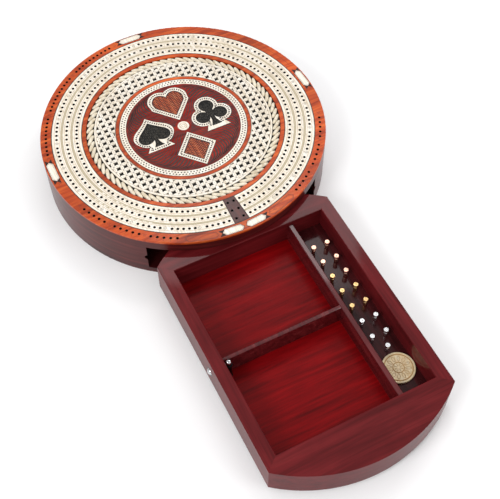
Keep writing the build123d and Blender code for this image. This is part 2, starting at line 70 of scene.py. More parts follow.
# ------------------------------------------------------------------ mesh tools
class Build:
    """Collects vertices in millimetres and faces, then makes one object."""

    def __init__(self):
        self.v, self.f = [], []

    def add(self, verts, faces):
        n = len(self.v)
        self.v += [tuple(p) for p in verts]
        self.f += [tuple(i + n for i in f) for f in faces]

    def make(self, name, material, body, smooth=True, angle=40):
        me = bpy.data.meshes.new(name)
        me.from_pydata([(x * MM, y * MM, z * MM) for x, y, z in self.v], [], self.f)
        me.validate()
        # every closed shell faces outwards
        bm = bmesh.new()
        bm.from_mesh(me)
        bmesh.ops.recalc_face_normals(bm, faces=bm.faces)
        bm.to_mesh(me)
        bm.free()
        me.update()
        if smooth:
            me.shade_smooth()
            me.set_sharp_from_angle(angle=math.radians(angle))
        ob = bpy.data.objects.new(name, me)
        bpy.context.scene.collection.objects.link(ob)
        me.materials.append(material)
        if body:
            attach(ob, body)
        return ob


def directions(pts, closed):
    pts = np.array(pts, float)
    if closed:
        d = np.roll(pts, -1, 0) - np.roll(pts, 1, 0)
    else:
        d = np.gradient(pts, axis=0)
    n = np.linalg.norm(d, axis=1)
    n[n == 0] = 1
    d = d / n[:, None]
    return pts, d, np.stack([-d[:, 1], d[:, 0]], 1)


def ridge(b, pts, half_w, z0, h, n=6, closed=False, ends=0.15, power=1.0):
    """A raised half-round line along a path on the face. Its ends taper off."""
    pts, d, nn = directions(pts, closed)
    m = len(pts)
    s = np.ones(m)
    if not closed and ends > 0:
        t = np.linspace(0, 1, m)
        s = np.clip(np.minimum(t, 1 - t) / ends, 0.12, 1) ** 0.5
    verts = []
    for i in range(m):
        for j in range(n + 1):
            a = math.pi * j / n
            o = half_w * math.cos(a) * s[i]
            z = z0 + h * (math.sin(a) ** power) * s[i]
            verts.append((pts[i, 0] + nn[i, 0] * o, pts[i, 1] + nn[i, 1] * o, z))
    faces = []
    k = n + 1
    for i in range(m if closed else m - 1):
        i2 = (i + 1) % m
        for j in range(n):
            faces.append((i * k + j, i * k + j + 1, i2 * k + j + 1, i2 * k + j)[::-1])
        faces.append((i * k + n, i * k, i2 * k, i2 * k + n)[::-1])
    if not closed:
        faces.append(tuple(range(k))[::-1])
        faces.append(tuple((m - 1) * k + j for j in range(k)))
    b.add(verts, faces)


def ribbon(b, pts, half_w, z0, z1, closed=False):
    """A flat strip with square edges along a path on the face."""
    pts, d, nn = directions(pts, closed)
    m = len(pts)
    hw = np.full(m, half_w) if np.isscalar(half_w) else np.array(half_w)
    verts = []
    for i in range(m):
        for s, z in ((-1, z0), (1, z0), (1, z1), (-1, z1)):
            verts.append((pts[i, 0] + nn[i, 0] * hw[i] * s, pts[i, 1] + nn[i, 1] * hw[i] * s, z))
    faces = []
    for i in range(m if closed else m - 1):
        i2 = (i + 1) % m
        for j in range(4):
            j2 = (j + 1) % 4
            faces.append((i * 4 + j, i2 * 4 + j, i2 * 4 + j2, i * 4 + j2))
    if not closed:
        faces.append((0, 1, 2, 3))
        q = (m - 1) * 4
        faces.append((q + 3, q + 2, q + 1, q))
    b.add(verts, faces)


def dome(b, x, y, r, z0, h, seg=10, sx=1.0, turn=0.0):
    """A small raised dot, round or long."""
    verts, faces = [], []
    c, s = math.cos(turn), math.sin(turn)
    levels = ((1.0, 0.0), (0.93, 0.5), (0.7, 0.85))
    for q, zz in levels:
        for i in range(seg):
            a = 2 * math.pi * i / seg
            px, py = r * q * sx * math.cos(a), r * q * math.sin(a)
            verts.append((x + px * c - py * s, y + px * s + py * c, z0 + h * zz))
    verts.append((x, y, z0 + h))
    for lv in range(2):
        for i in range(seg):
            j = (i + 1) % seg
            faces.append((lv * seg + i, lv * seg + j, (lv + 1) * seg + j, (lv + 1) * seg + i))
    for i in range(seg):
        j = (i + 1) % seg
        faces.append((2 * seg + i, 2 * seg + j, 3 * seg))
    faces.append(tuple(range(seg))[::-1])
    b.add(verts, faces)


def sleeve(b, x, y, r_out, r_in, z0, z1, seg=18):
    """A thin closed tube, standing up."""
    verts, faces = [], []
    for r, z in ((r_out, z0), (r_out, z1), (r_in, z1), (r_in, z0)):
        for i in range(seg):
            a = 2 * math.pi * i / seg
            verts.append((x + r * math.cos(a), y + r * math.sin(a), z))
    for q in range(4):
        q2 = (q + 1) % 4
        for i in range(seg):
            j = (i + 1) % seg
            faces.append((q * seg + i, q * seg + j, q2 * seg + j, q2 * seg + i))
    b.add(verts, faces)


def turned(b, cx, cy, profile, seg=72, closed=True):
    """A turned ring: profile is a closed list of (r, z)."""
    verts, faces = [], []
    m = len(profile)
    for i in range(seg):
        a = 2 * math.pi * i / seg
        for r, z in profile:
            verts.append((cx + r * math.cos(a), cy + r * math.sin(a), z))
    for i in range(seg):
        i2 = (i + 1) % seg
        for j in range(m):
            j2 = (j + 1) % m
            faces.append((i * m + j, i2 * m + j, i2 * m + j2, i * m + j2))
    b.add(verts, faces)


def arc_pts(r, a0, a1, step=1.0):
    n = max(2, int(abs(a1 - a0) / step) + 1)
    return [polar(r, a0 + (a1 - a0) * i / (n - 1)) for i in range(n)]


DIGITS = {
    "0": [[(0, .22), (0, .78), (.15, 1), (.45, 1), (.6, .78), (.6, .22), (.45, 0), (.15, 0), (0, .22)]],
    "1": [[(.1, .78), (.34, 1), (.34, 0)]],
    "2": [[(0, .78), (.12, 1), (.48, 1), (.6, .8), (.58, .6), (0, 0), (.6, 0)]],
    "3": [[(0, .9), (.15, 1), (.45, 1), (.6, .85), (.58, .65), (.4, .53), (.58, .4), (.6, .15), (.45, 0), (.15, 0), (0, .12)]],
    "4": [[(.45, 0), (.45, 1), (0, .3), (.62, .3)]],
    "5": [[(.55, 1), (.08, 1), (.04, .55), (.35, .6), (.6, .42), (.6, .15), (.4, 0), (.1, 0), (0, .1)]],
    "6": [[(.5, 1), (.2, .85), (.02, .5), (0, .2), (.15, 0), (.45, 0), (.6, .18), (.58, .4), (.42, .55), (.15, .52), (.02, .36)]],
    "7": [[(0, 1), (.6, 1), (.22, 0)]],
    "8": [[(.3, .53), (.08, .65), (.08, .88), (.2, 1), (.4, 1), (.52, .88), (.52, .65), (.3, .53), (0, .35), (0, .12), (.15, 0), (.45, 0), (.6, .12), (.6, .35), (.3, .53)]],
    "9": [[(.1, 0), (.4, .15), (.58, .5), (.6, .8), (.45, 1), (.15, 1), (0, .82), (.02, .6), (.18, .45), (.45, .48), (.58, .64)]],
}


def number(b, text, r, a, height, z0, z1, stroke=0.09):
    """Plain figures on the face, their tops turned outwards."""
    adv = 0.85 * height
    total = adv * len(text) - 0.25 * height
    cx, cy = polar(r, a)
    t = math.radians(-90.0 - a)
    up = (math.cos(t), math.sin(t))
    right = (math.sin(t), -math.cos(t))
    for k, ch in enumerate(text):
        x0 = -total / 2 + k * adv
        for line in DIGITS[ch]:
            pts = []
            for (p, q) in line:
                u, w = x0 + p * height, (q - 0.5) * height
                pts.append((cx + right[0] * u + up[0] * w, cy + right[1] * u + up[1] * w))
            ribbon(b, pts, stroke, z0, z1)


def top_loops(node):
    """Outlines of a node's top face, in mm, longest first."""
    me = NODES[node].data
    co = np.zeros(len(me.vertices) * 3)
    me.vertices.foreach_get("co", co)
    co = co.reshape(-1, 3) / MM
    ztop = co[:, 2].max()
    key = {}
    ids = []
    for p in co:
        k = (round(p[0], 3), round(p[1], 3), round(p[2], 3))
        ids.append(key.setdefault(k, len(key)))
    pos = {i: k for k, i in key.items()}
    count = {}
    for poly in me.polygons:
        vs = [ids[i] for i in poly.vertices]
        if all(abs(pos[v][2] - ztop) < 0.01 for v in vs):
            for i in range(len(vs)):
                e = (vs[i], vs[(i + 1) % len(vs)])
                k = tuple(sorted(e))
                if k[0] != k[1]:
                    count[k] = count.get(k, 0) + 1
    nxt = {}
    for (u, v), c in count.items():
        if c == 1:
            nxt.setdefault(u, []).append(v)
            nxt.setdefault(v, []).append(u)
    loops = []
    seen = set()
    for s in list(nxt):
        if s in seen:
            continue
        loop = [s]
        seen.add(s)
        prev, cur = None, s
        while True:
            cand = [q for q in nxt[cur] if q != prev and q not in seen]
            if not cand:
                break
            prev, cur = cur, cand[0]
            loop.append(cur)
            seen.add(cur)
        if len(loop) > 2:
            loops.append(np.array([pos[i][:2] for i in loop]))
    loops.sort(key=lambda l: -np.linalg.norm(np.roll(l, -1, 0) - l, axis=1).sum())
    return loops


def evenly(loop, n, closed=True):
    pts = np.vstack([loop, loop[:1]]) if closed else loop
    d = np.r_[0, np.cumsum(np.linalg.norm(np.diff(pts, axis=0), axis=1))]
    t = np.linspace(0, d[-1], n + 1)[:-1] if closed else np.linspace(0, d[-1], n)
    return np.stack([np.interp(t, d, pts[:, 0]), np.interp(t, d, pts[:, 1])], 1)


def inside(poly, x, y):
    px, py = poly[:, 0], poly[:, 1]
    qx, qy = np.roll(px, -1), np.roll(py, -1)
    hit = ((py > y) != (qy > y)) & (x < (qx - px) * (y - py) / (qy - py + 1e-12) + px)
    return bool(hit.sum() % 2)


def gap_to(poly, x, y):
    a = poly
    bb = np.roll(poly, -1, 0)
    ab = bb - a
    t = np.clip(((x - a[:, 0]) * ab[:, 0] + (y - a[:, 1]) * ab[:, 1]) / (ab[:, 0] ** 2 + ab[:, 1] ** 2 + 1e-12), 0, 1)
    return float(np.min(np.hypot(a[:, 0] + ab[:, 0] * t - x, a[:, 1] + ab[:, 1] * t - y)))


# ------------------------------------------------------------------ materials
def lin(c):
    out = []
    for v in c:
        v = v / 255.0
        out.append(v / 12.92 if v <= 0.04045 else ((v + 0.055) / 1.055) ** 2.4)
    return (out[0], out[1], out[2], 1.0)


class Nodes:
    def __init__(self, name):
        self.mat = bpy.data.materials.new(name)
        self.mat.use_nodes = True
        self.t = self.mat.node_tree
        self.t.nodes.clear()
        self.out = self.t.nodes.new("ShaderNodeOutputMaterial")
        self.bsdf = self.t.nodes.new("ShaderNodeBsdfPrincipled")
        self.t.links.new(self.bsdf.outputs[0], self.out.inputs[0])
        self.coord = self.t.nodes.new("ShaderNodeTexCoord")

    def link(self, a, b):
        self.t.links.new(a, b)

    def mapping(self, scale=(1, 1, 1), rot=(0, 0, 0), loc=(0, 0, 0)):
        m = self.t.nodes.new("ShaderNodeMapping")
        m.inputs["Scale"].default_value = scale
        m.inputs["Rotation"].default_value = rot
        m.inputs["Location"].default_value = loc
        self.link(self.coord.outputs["Object"], m.inputs["Vector"])
        return m.outputs["Vector"]

    def noise(self, vec, scale, detail=4, rough=0.55, distortion=0.0):
        n = self.t.nodes.new("ShaderNodeTexNoise")
        n.inputs["Scale"].default_value = scale
        n.inputs["Detail"].default_value = detail
        n.inputs["Roughness"].default_value = rough
        n.inputs["Distortion"].default_value = distortion
        self.link(vec, n.inputs["Vector"])
        return n.outputs["Fac"]

    def ramp(self, fac, stops, interp="LINEAR"):
        r = self.t.nodes.new("ShaderNodeValToRGB")
        r.color_ramp.interpolation = interp
        e = r.color_ramp.elements
        while len(e) < len(stops):
            e.new(0.5)
        for el, (pos, col) in zip(e, stops):
            el.position = pos
            el.color = col
        self.link(fac, r.inputs["Fac"])
        return r.outputs["Color"]

    def multiply(self, a, b, factor=1.0):
        m = self.t.nodes.new("ShaderNodeMixRGB")
        m.blend_type = "MULTIPLY"
        m.inputs["Fac"].default_value = factor
        self.link(a, m.inputs["Color1"])
        self.link(b, m.inputs["Color2"])
        return m.outputs["Color"]

    def span(self, fac, lo, hi):
        m = self.t.nodes.new("ShaderNodeMapRange")
        m.inputs["To Min"].default_value = lo
        m.inputs["To Max"].default_value = hi
        self.link(fac, m.inputs["Value"])
        return m.outputs["Result"]

    def bump(self, height, strength, distance, normal=None):
        b = self.t.nodes.new("ShaderNodeBump")
        b.inputs["Strength"].default_value = strength
        b.inputs["Distance"].default_value = distance
        self.link(height, b.inputs["Height"])
        if normal is not None:
            self.link(normal, b.inputs["Normal"])
        return b.outputs["Normal"]


def grey(v):
    return (v, v, v, 1.0)


def wood(name, dark, mid, light, along="y", fine=900.0, stretch=14.0, rough=(0.3, 0.45), coat=0.0,
         coat_rough=0.1, bump=0.12, patch=0.75, patch_scale=22.0, turn=0.0, spec=0.5):
    """Planed or lacquered wood: long grain, broad colour patches, worn sheen."""
    n = Nodes(name)
    q = 1 / stretch
    sc = {"x": (q, 1, 1), "y": (1, q, 1), "z": (1, 1, q), "round": (q, q, 1)}[along]
    vec = n.mapping(sc, (0, 0, turn))
    g1 = n.noise(vec, fine * 0.35, 6, 0.6, 0.6)
    g2 = n.noise(vec, fine, 3, 0.5, 0.2)
    big = n.noise(n.mapping((1, 1, 1)), patch_scale, 3, 0.5, 0.4)
    col = n.ramp(g1, [(0.30, lin(dark)), (0.50, lin(mid)), (0.72, lin(light))])
    fine_c = n.ramp(g2, [(0.35, grey(0.80)), (0.62, grey(1.0))])
    big_c = n.ramp(big, [(0.30, grey(patch)), (0.68, grey(1.0))])
    col = n.multiply(col, fine_c)
    col = n.multiply(col, big_c)
    n.link(col, n.bsdf.inputs["Base Color"])
    wear = n.noise(n.mapping((1, 1, 1), loc=(3, 1, 2)), 60, 5, 0.65, 0.0)
    n.link(n.span(wear, rough[0], rough[1]), n.bsdf.inputs["Roughness"])
    n.link(n.bump(g2, bump, 0.0002), n.bsdf.inputs["Normal"])
    n.bsdf.inputs["Specular IOR Level"].default_value = spec
    if coat > 0:
        n.bsdf.inputs["Coat Weight"].default_value = coat
        n.bsdf.inputs["Coat Roughness"].default_value = coat_rough
    return n.mat


def metal(name, dark, light, rough=(0.18, 0.35), bump=0.05, scale=500.0):
    n = Nodes(name)
    f = n.noise(n.mapping((1, 1, 0.2)), scale, 4, 0.6)
    n.link(n.ramp(f, [(0.3, lin(dark)), (0.7, lin(light))]), n.bsdf.inputs["Base Color"])
    n.bsdf.inputs["Metallic"].default_value = 1.0
    w = n.noise(n.mapping((1, 1, 1)), 300, 4, 0.6)
    n.link(n.span(w, rough[0], rough[1]), n.bsdf.inputs["Roughness"])
    n.link(n.bump(f, bump, 0.0001), n.bsdf.inputs["Normal"])
    return n.mat


def line_ink(name, dark, light, rough=(0.4, 0.6)):
    """Burnt-in or engraved line."""
    n = Nodes(name)
    f = n.noise(n.mapping((1, 1, 1)), 700, 3, 0.6)
    n.link(n.ramp(f, [(0.3, lin(dark)), (0.7, lin(light))]), n.bsdf.inputs["Base Color"])
    n.link(n.span(f, rough[0], rough[1]), n.bsdf.inputs["Roughness"])
    n.link(n.bump(f, 0.1, 0.0001), n.bsdf.inputs["Normal"])
    return n.mat


M = {}
M["case"] = wood("case_lacquer_look", (54, 13, 14), (84, 24, 24), (108, 38, 36), along="x", fine=420,
                 stretch=16, rough=(0.28, 0.38), coat=0.10, coat_rough=0.10, bump=0.03, patch=0.74, spec=0.16)
M["case_side"] = wood("case_side_look", (50, 12, 13), (80, 22, 22), (106, 38, 36), along="round", fine=420,
                      stretch=20, rough=(0.26, 0.36), coat=0.16, coat_rough=0.09, bump=0.03, patch=0.74, spec=0.18)
M["drawer"] = wood("drawer_lacquer_look", (80, 16, 19), (98, 22, 26), (112, 30, 33), along="x", fine=380,
                   stretch=18, rough=(0.26, 0.36), coat=0.28, coat_rough=0.07, bump=0.03, patch=0.78, spec=0.03)
M["drawer_y"] = wood("drawer_side_look", (80, 16, 19), (98, 22, 26), (112, 30, 33), along="y", fine=380,
                     stretch=18, rough=(0.26, 0.36), coat=0.28, coat_rough=0.07, bump=0.03, patch=0.78, spec=0.03)
M["divider"] = wood("divider_look", (58, 12, 15), (86, 21, 25), (112, 40, 42), along="y", fine=420,
                    stretch=14, rough=(0.18, 0.28), coat=0.45, coat_rough=0.05, bump=0.03, patch=0.8, spec=0.2)
M["rack"] = wood("peg_rack_look", (46, 10, 12), (64, 16, 19), (82, 26, 29), along="y", fine=420,
                 stretch=14, rough=(0.22, 0.32), coat=0.18, coat_rough=0.06, bump=0.03, patch=0.8, spec=0.12)
M["floor"] = wood("drawer_floor_look", (92, 0, 3), (122, 1, 6), (142, 6, 10), along="x", fine=420,
                  stretch=16, rough=(0.36, 0.48), coat=0.03, coat_rough=0.2, bump=0.05, patch=0.72, patch_scale=12, spec=0.08)
M["bloodwood"] = wood("bloodwood_look", (102, 17, 11), (148, 34, 22), (176, 56, 34), along="x", fine=700,
                      stretch=8, rough=(0.32, 0.44), coat=0.04, coat_rough=0.12, bump=0.1, patch=0.7, patch_scale=18, spec=0.1)
M["padauk"] = wood("padauk_look", (138, 44, 13), (194, 74, 24), (226, 110, 45), along="x", fine=520,
                   stretch=14, rough=(0.32, 0.44), coat=0.12, coat_rough=0.12, bump=0.1, patch=0.62, patch_scale=12, spec=0.22)
M["maple"] = wood("maple_look", (226, 212, 190), (242, 232, 216), (250, 245, 236), along="y", fine=700,
                  stretch=12, rough=(0.38, 0.52), coat=0.15, coat_rough=0.2, bump=0.08, patch=0.92, spec=0.3)
M["rope"] = wood("rope_look", (204, 186, 156), (230, 218, 194), (244, 237, 222), along="y", fine=900,
                 stretch=3, rough=(0.42, 0.6), bump=0.15, patch=0.88, spec=0.3)
M["dark"] = wood("dark_wood_look", (24, 12, 9), (44, 22, 16), (62, 34, 24), along="y", fine=700,
                 stretch=10, rough=(0.35, 0.5), bump=0.1, spec=0.3)
M["black"] = wood("black_wood_look", (6, 6, 5), (12, 11, 10), (24, 22, 19), along="y", fine=800,
                  stretch=6, rough=(0.4, 0.55), bump=0.18, patch=0.8, spec=0.2)
M["rosewood"] = wood("rosewood_look", (40, 11, 9), (72, 22, 16), (104, 40, 26), along="y", fine=600,
                     stretch=12, rough=(0.3, 0.42), coat=0.2, bump=0.1, spec=0.3)
M["redwood"] = wood("red_inlay_look", (48, 10, 5), (80, 20, 10), (104, 34, 17), along="y", fine=700,
                    stretch=5, rough=(0.34, 0.48), coat=0.1, bump=0.14, patch=0.7, patch_scale=60, spec=0.3)
M["steel"] = metal("steel_look", (150, 150, 152), (222, 222, 224), rough=(0.12, 0.26))
M["blackmetal"] = metal("black_metal_look", (10, 10, 11), (30, 30, 32), rough=(0.25, 0.4))
M["copper"] = metal("peg_copper_look", (222, 158, 130), (250, 208, 188), rough=(0.22, 0.34))
M["brass"] = metal("peg_brass_look", (214, 168, 104), (246, 212, 158), rough=(0.22, 0.34))
M["pegsteel"] = metal("peg_steel_look", (220, 220, 224), (252, 252, 252), rough=(0.2, 0.3))
M["token"] = wood("token_look", (236, 208, 160), (252, 230, 186), (255, 243, 214), along="y", fine=900,
                  stretch=3, rough=(0.3, 0.42), coat=0.12, bump=0.12)
M["token_mark"] = line_ink("token_mark_look", (166, 122, 66), (198, 156, 98))
M["ink"] = line_ink("burnt_line_look", (8, 6, 5), (22, 15, 11))
M["ink_soft"] = line_ink("engraved_line_look", (150, 120, 84), (182, 154, 116))
# tan colour of the coves between the track rows: painted shade in the shallow grooves
M["tan"] = line_ink("cove_painted_shade_look", (164, 150, 122), (192, 180, 156), rough=(0.5, 0.7))
M["vein"] = line_ink("vein_look", (120, 100, 72), (156, 134, 104))
M["swirl"] = line_ink("disc_groove_look", (16, 4, 3), (36, 11, 8), rough=(0.35, 0.5))
M["score_line"] = line_ink("score_line_look", (60, 18, 10), (92, 30, 16))
# near-black lining for the peg holes: painted shade deep in the holes
M["hole"] = line_ink("hole_painted_shade_look", (6, 4, 4), (18, 11, 8), rough=(0.5, 0.7))
M["relief_red"] = wood("red_relief_look", (190, 74, 38), (222, 108, 60), (240, 150, 98), along="y", fine=900,
                       stretch=3, rough=(0.3, 0.42), coat=0.2, bump=0.1, spec=0.3)
M["relief_dark_red"] = line_ink("red_groove_look", (60, 12, 6), (92, 24, 12))
M["relief_black"] = wood("black_relief_look", (30, 28, 24), (56, 52, 44), (88, 82, 70), along="y", fine=900,
                         stretch=3, rough=(0.3, 0.44), coat=0.1, bump=0.1, spec=0.3)
M["spacer"] = line_ink("stringing_look", (22, 13, 8), (48, 32, 22))

LOOK = {
    "base_board": "case_side", "left_cheek": "case_side", "right_cheek": "case_side", "top_board": "case_side",
    "catch_strikes": "steel", "score_ring": "padauk", "label_plaques": "maple", "score_plaques": "padauk",
    "plaque_tips": "dark", "track_ring": "maple", "start_bar": "rosewood", "outer_band": "padauk",
    "inner_band": "padauk", "dot_ring": "maple", "rope_backing": "black", "rope_ring": "rope",
    "lattice_backing": "black", "lattice_ring": "maple", "stringing": "spacer", "centre_disc": "bloodwood",
    "centre_button": "maple", "heart_border": "maple", "spade_border": "maple", "club_border": "maple",
    "diamond_border": "maple", "heart_inlay": "redwood", "diamond_inlay": "redwood",
    "spade_inlay": "black", "club_inlay": "black",
    "drawer_front": "drawer", "drawer_back": "drawer", "drawer_left_side": "drawer_y",
    "drawer_right_side": "drawer_y", "drawer_floor": "floor", "long_divider": "divider",
    "cross_divider": "divider", "peg_rack": "rack", "corner_post": "blackmetal",
    "corner_post_cap": "steel", "catch_barrels": "blackmetal", "catch_springs": "steel",
    "left_ball": "steel", "right_ball": "steel", "left_catch_ball": "steel", "right_catch_ball": "steel",
    "token": "token",
}
for name, ob in NODES.items():
    if name in LOOK:
        look = M[LOOK[name]]
    elif "copper" in name:
        look = M["copper"]
    elif "brass" in name:
        look = M["brass"]
    else:
        look = M["pegsteel"]
    if not ob.data.materials:
        ob.data.materials.append(look)
    for s in ob.material_slots:
        s.material = look

# ------------------------------------------------------------------ rope ring
b = Build()
N_STRAND, TW = 74, 360.0 / 74
for i in range(N_STRAND):
    a0 = i * TW
    nt, nu = 16, 8
    rows = []
    for q in range(nt + 1):
        t = q / nt
        r = 103.5 - 7.8 * t
        s = t * t * (3 - 2 * t)
        rows.append(polar(r, a0 + TW * 1.5 * (0.5 * t + 0.5 * s)))
    pts, d, nn = directions(rows, False)
    verts, faces = [], []
    for q in range(nt + 1):
        t = q / nt
        end = min(t, 1 - t)
        w = 1.88 * math.sqrt(max(0.0, 1 - (1 - min(1.0, end / 0.40)) ** 2)) + 0.1
        h = 0.30 + 1.60 * min(1.0, end / 0.38) ** 0.6
        for j in range(nu + 1):
            u = -1 + 2 * j / nu
            z = 54.4 + h * max(0.0, 1 - abs(u) ** 2.6) ** 0.5
            verts.append((pts[q, 0] + nn[q, 0] * w * u, pts[q, 1] + nn[q, 1] * w * u, z))
        verts.append((pts[q, 0] + nn[q, 0] * w, pts[q, 1] + nn[q, 1] * w, 54.38))
        verts.append((pts[q, 0] - nn[q, 0] * w, pts[q, 1] - nn[q, 1] * w, 54.38))
    k = nu + 3
    for q in range(nt):
        for j in range(k):
            j2 = (j + 1) % k
            faces.append((q * k + j, (q + 1) * k + j, (q + 1) * k + j2, q * k + j2))
    faces.append(tuple(range(k)))
    faces.append(tuple(nt * k + j for j in range(k))[::-1])
    b.add(verts, faces)
rope = b.make("rope_strands", M["rope"], "casing", angle=60)
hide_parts("rope_ring")

# ------------------------------------------------------------------ dotted ring
b = Build()
for i in range(122):
    a = i * 360 / 122
    for r, off in ((63.55, 0.0), (66.25, 0.5)):
        x, y = polar(r, a + off * 360 / 122)
        dome(b, x, y, 0.86, Z_FACE - 0.02, 0.1, seg=12)
b.make("ring_dots", M["ink"], "casing")

# ------------------------------------------------------------------ lattice veins
b = Build()
cut = []
reach = int(95 / P) + 2
for i in range(-reach, reach + 1):
    for j in range(-reach, reach + 1):
        nx, ny = (i + 0.5) * P, (j + 0.5) * P
        # small cross where four petals meet
        rr = math.hypot(nx, ny)
        if 74.2 < rr < 92.4:
            for sx, sy in ((1, 1), (1, -1)):
                g = 0.11 * P - 0.04
                cut.append([(nx + sx * g * t, ny + sy * g * t) for t in (-1.0, -0.5, 0.0, 0.5, 1.0)])
        # midrib of each petal, to the right and upwards of the meeting point
        for dx, dy in ((1, 0), (0, 1)):
            mx, my = nx + dx * P / 2, ny + dy * P / 2
            if 74.4 < math.hypot(mx, my) < 92.2:
                h = 0.30 * P
                e0 = (mx - dx * h, my - dy * h)
                e1 = (mx + dx * h, my + dy * h)
                if all(73.6 < math.hypot(*e) < 93.0 for e in (e0, e1)):
                    ribbon(b, [e0, e1], 0.12, Z_FACE - 0.02, Z_FACE + 0.03)
b.make("petal_veins", M["vein"], "casing", smooth=False)

b = Build()
for pts in cut:
    ribbon(b, pts, [0.27, 0.19, 0.13, 0.19, 0.27], Z_FACE - 0.02, Z_FACE + 0.025)
b.make("petal_cuts", M["ink"], "casing", smooth=False)

b = Build()
ribbon(b, arc_pts(93.35, 0, 360, 1.5)[:-1], 0.16, Z_FACE - 0.02, Z_FACE + 0.03, closed=True)
ribbon(b, arc_pts(73.2, 0, 360, 1.5)[:-1], 0.12, Z_FACE - 0.02, Z_FACE + 0.03, closed=True)
b.make("lattice_lines", M["vein"], "casing", smooth=False)

# ------------------------------------------------------------------ peg holes: near-black sleeves, painted shade inside each hole
b = Build()
holes = []
for r, step in zip(TRACK_R, TRACK_STEP):
    group = (350.0 - 4 * step) / 23
    for g in range(24):
        for k in range(5):
            holes.append(polar(r, TRACK_FIRST + g * group + k * step))
for r in TRACK_R:
    holes += [polar(r, BAR_HOLE), polar(r, -BAR_HOLE)]
score = []
for start in (27.1, 42.2, 57.3):
    for k in range(5):
        score.append((start + 2.6 * k, k + 1))
        score.append((360 - start - 2.6 * k, k + 1))
for start in (101.0, 125.5, 150.0):
    for k in range(10):
        score.append((start + 2.17 * k, k + 1))
holes += [polar(SCORE_R, a) for a, _ in score]
for x, y in holes:
    sleeve(b, x, y, HOLE_R - 0.005, HOLE_R - 0.13, HOLE_Z + 0.02, Z_FACE + 0.03)
b.make("hole_shade_sleeves", M["hole"], "casing")

# ------------------------------------------------------------------ track: fine rings, dividers, numbered circles
b = Build()
for r in (111.6, 116.4, 122.0, 127.0, 132.4, 137.6):
    ribbon(b, arc_pts(r, 3.7, 356.3, 1.0), 0.17, Z_FACE - 0.03, Z_FACE + 0.03)
gaps = [17.85 + 14.736 * k for k in range(23)]
for a in gaps:
    for r0, r1 in ((111.6, 116.4), (122.0, 127.0), (132.4, 133.5), (136.7, 137.6)):
        ribbon(b, [polar(r0, a), polar(r1, a)], 0.14, Z_FACE - 0.03, Z_FACE + 0.03)
b.make("track_lines", M["ink_soft"], "casing", smooth=False)

b = Build()
for k, a in enumerate(gaps):
    cx, cy = polar(135.1, a)
    ribbon(b, [(cx + 1.55 * math.cos(t * math.pi / 12), cy + 1.55 * math.sin(t * math.pi / 12)) for t in range(24)],
           0.11, Z_FACE - 0.03, Z_FACE + 0.03, closed=True)
    number(b, str(5 * (k + 1)), 135.1, a, 1.25 if k > 0 else 1.5, Z_FACE - 0.03, Z_FACE + 0.03, stroke=0.09)
b.make("track_numbers", M["ink"], "casing", smooth=False)

# shallow coves between the track rows; their tan colour is painted shade
b = Build()
for rc in (119.3, 129.8):
    prof = []
    for u in np.linspace(-1, 1, 9):
        prof.append((rc + 1.25 * u, Z_FACE - 0.26 * (1 - u * u) + 0.045))
    lo = [(rr, zz - 0.12) for rr, zz in prof[::-1]]
    prof = prof + lo
    n = 240
    verts, faces = [], []
    m = len(prof)
    for i in range(n + 1):
        a = 3.6 + (356.4 - 3.6) * i / n
        for rr, zz in prof:
            x, y = polar(rr, a)
            verts.append((x, y, zz))
    for i in range(n):
        for j in range(m):
            j2 = (j + 1) % m
            faces.append((i * m + j, i * m + j2, (i + 1) * m + j2, (i + 1) * m + j))
    faces.append(tuple(range(m))[::-1])
    faces.append(tuple(n * m + j for j in range(m)))
    b.add(verts, faces)
b.make("cove_bands", M["tan"], "casing")

# ------------------------------------------------------------------ score ring: small numbers, chevrons, thin line
b = Build()
for a, num in score:
    number(b, str(num), 149.4, a, 1.35, Z_FACE - 0.03, Z_FACE + 0.03, stroke=0.1)
for a in (39.6, 54.9, 69.9, 84.3, 98.7, 122.7, 147.3, 171.9, 188.1, 289.2, 304.2, 319.5, 328.6, 345.6):
    for off in (0.0, 0.62):
        pts = [polar(147.9, a - 0.35 + off), polar(146.3, a + 0.35 + off), polar(144.7, a - 0.35 + off)]
        ribbon(b, pts, 0.16, Z_FACE - 0.03, Z_FACE + 0.03)
ribbon(b, arc_pts(146.6, 190.0, 258.5, 1.0), 0.14, Z_FACE - 0.03, Z_FACE + 0.03)
b.make("score_marks", M["score_line"], "casing", smooth=False)


def hexagon(a, length, height, tip):
    cx, cy = polar(PLAQUE_R, a)
    t = math.radians(-90.0 - a)
    ux, uy = -math.sin(t), math.cos(t)
    vx, vy = math.cos(t), math.sin(t)
    h, l = height / 2, length / 2
    pts = [(-l, 0), (-l + tip, h), (l - tip, h), (l, 0), (l - tip, -h), (-l + tip, -h)]
    return [(cx + p * ux + q * vx, cy + p * uy + q * vy) for p, q in pts]


def border(b, pts, half_w, z0, z1):
    """Closed outline with square corners, drawn as separate bars."""
    for i in range(len(pts)):
        p, q = pts[i], pts[(i + 1) % len(pts)]
        ribbon(b, [p, q], half_w, z0, z1)


b = Build()
for a, l in ((91.5, 27.0), (180.0, 27.0), (268.5, 27.0), (4.95, 23.4), (-4.95, 23.4)):
    border(b, hexagon(a, l - 2.6, 5.7, 2.5), 0.11, 56.12, 56.19)
for a, l in ((17.6, 35.0), (-17.6, 35.0)):
    border(b, hexagon(a, l - 0.6, 7.5, 3.3), 0.2, 55.97, 56.03)
    border(b, hexagon(a, l - 3.0, 5.7, 2.5), 0.12, 55.97, 56.03)
# dark line round each plaque's edge: a real dark line, widened so that it also paints the shade along the raised edge
for loop in top_loops("label_plaques")[:5]:
    k = max(40, int(np.linalg.norm(np.roll(loop, -1, 0) - loop, axis=1).sum() / 0.8))
    ribbon(b, evenly(loop, k), 0.28, 55.9, 56.19, closed=True)
b.make("plaque_lines_and_edge_shade", M["score_line"], "casing", smooth=False)
